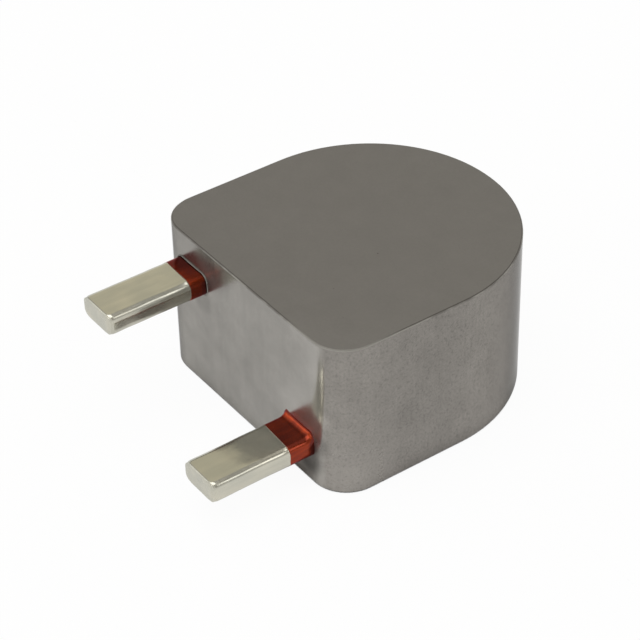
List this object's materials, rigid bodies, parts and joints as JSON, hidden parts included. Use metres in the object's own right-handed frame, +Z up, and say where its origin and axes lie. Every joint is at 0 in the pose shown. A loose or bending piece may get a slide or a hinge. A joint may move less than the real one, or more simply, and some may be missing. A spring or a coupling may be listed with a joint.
{
  "type": "shielded power inductor",
  "caption": "Moulded power inductor: a D-shaped body of pressed iron powder round an edge-wound flat-wire coil, with tinned flat tails straight out of its flat front.",
  "frame": {"origin": "on the coil's axis, in the plane of the base", "axes": "+Z up along the coil's axis; the flat front faces -Y and both tails leave it along -Y; +X towards the lower tail"},
  "size_m": [0.028, 0.0386, 0.0161],
  "materials": {
    "pressed_powder": "pressed and baked iron powder: matt on top, burnished by the die on its walls",
    "enamelled_wire": "clear red-brown wire enamel over copper, glossy",
    "tin": "hot-dipped tin, satin, slightly warm"
  },
  "bodies": {
    "root": {"core_body": "pressed_powder", "coil": "enamelled_wire", "lower_tail_tin": "tin", "upper_tail_tin": "tin"}
  },
  "joints": []
}
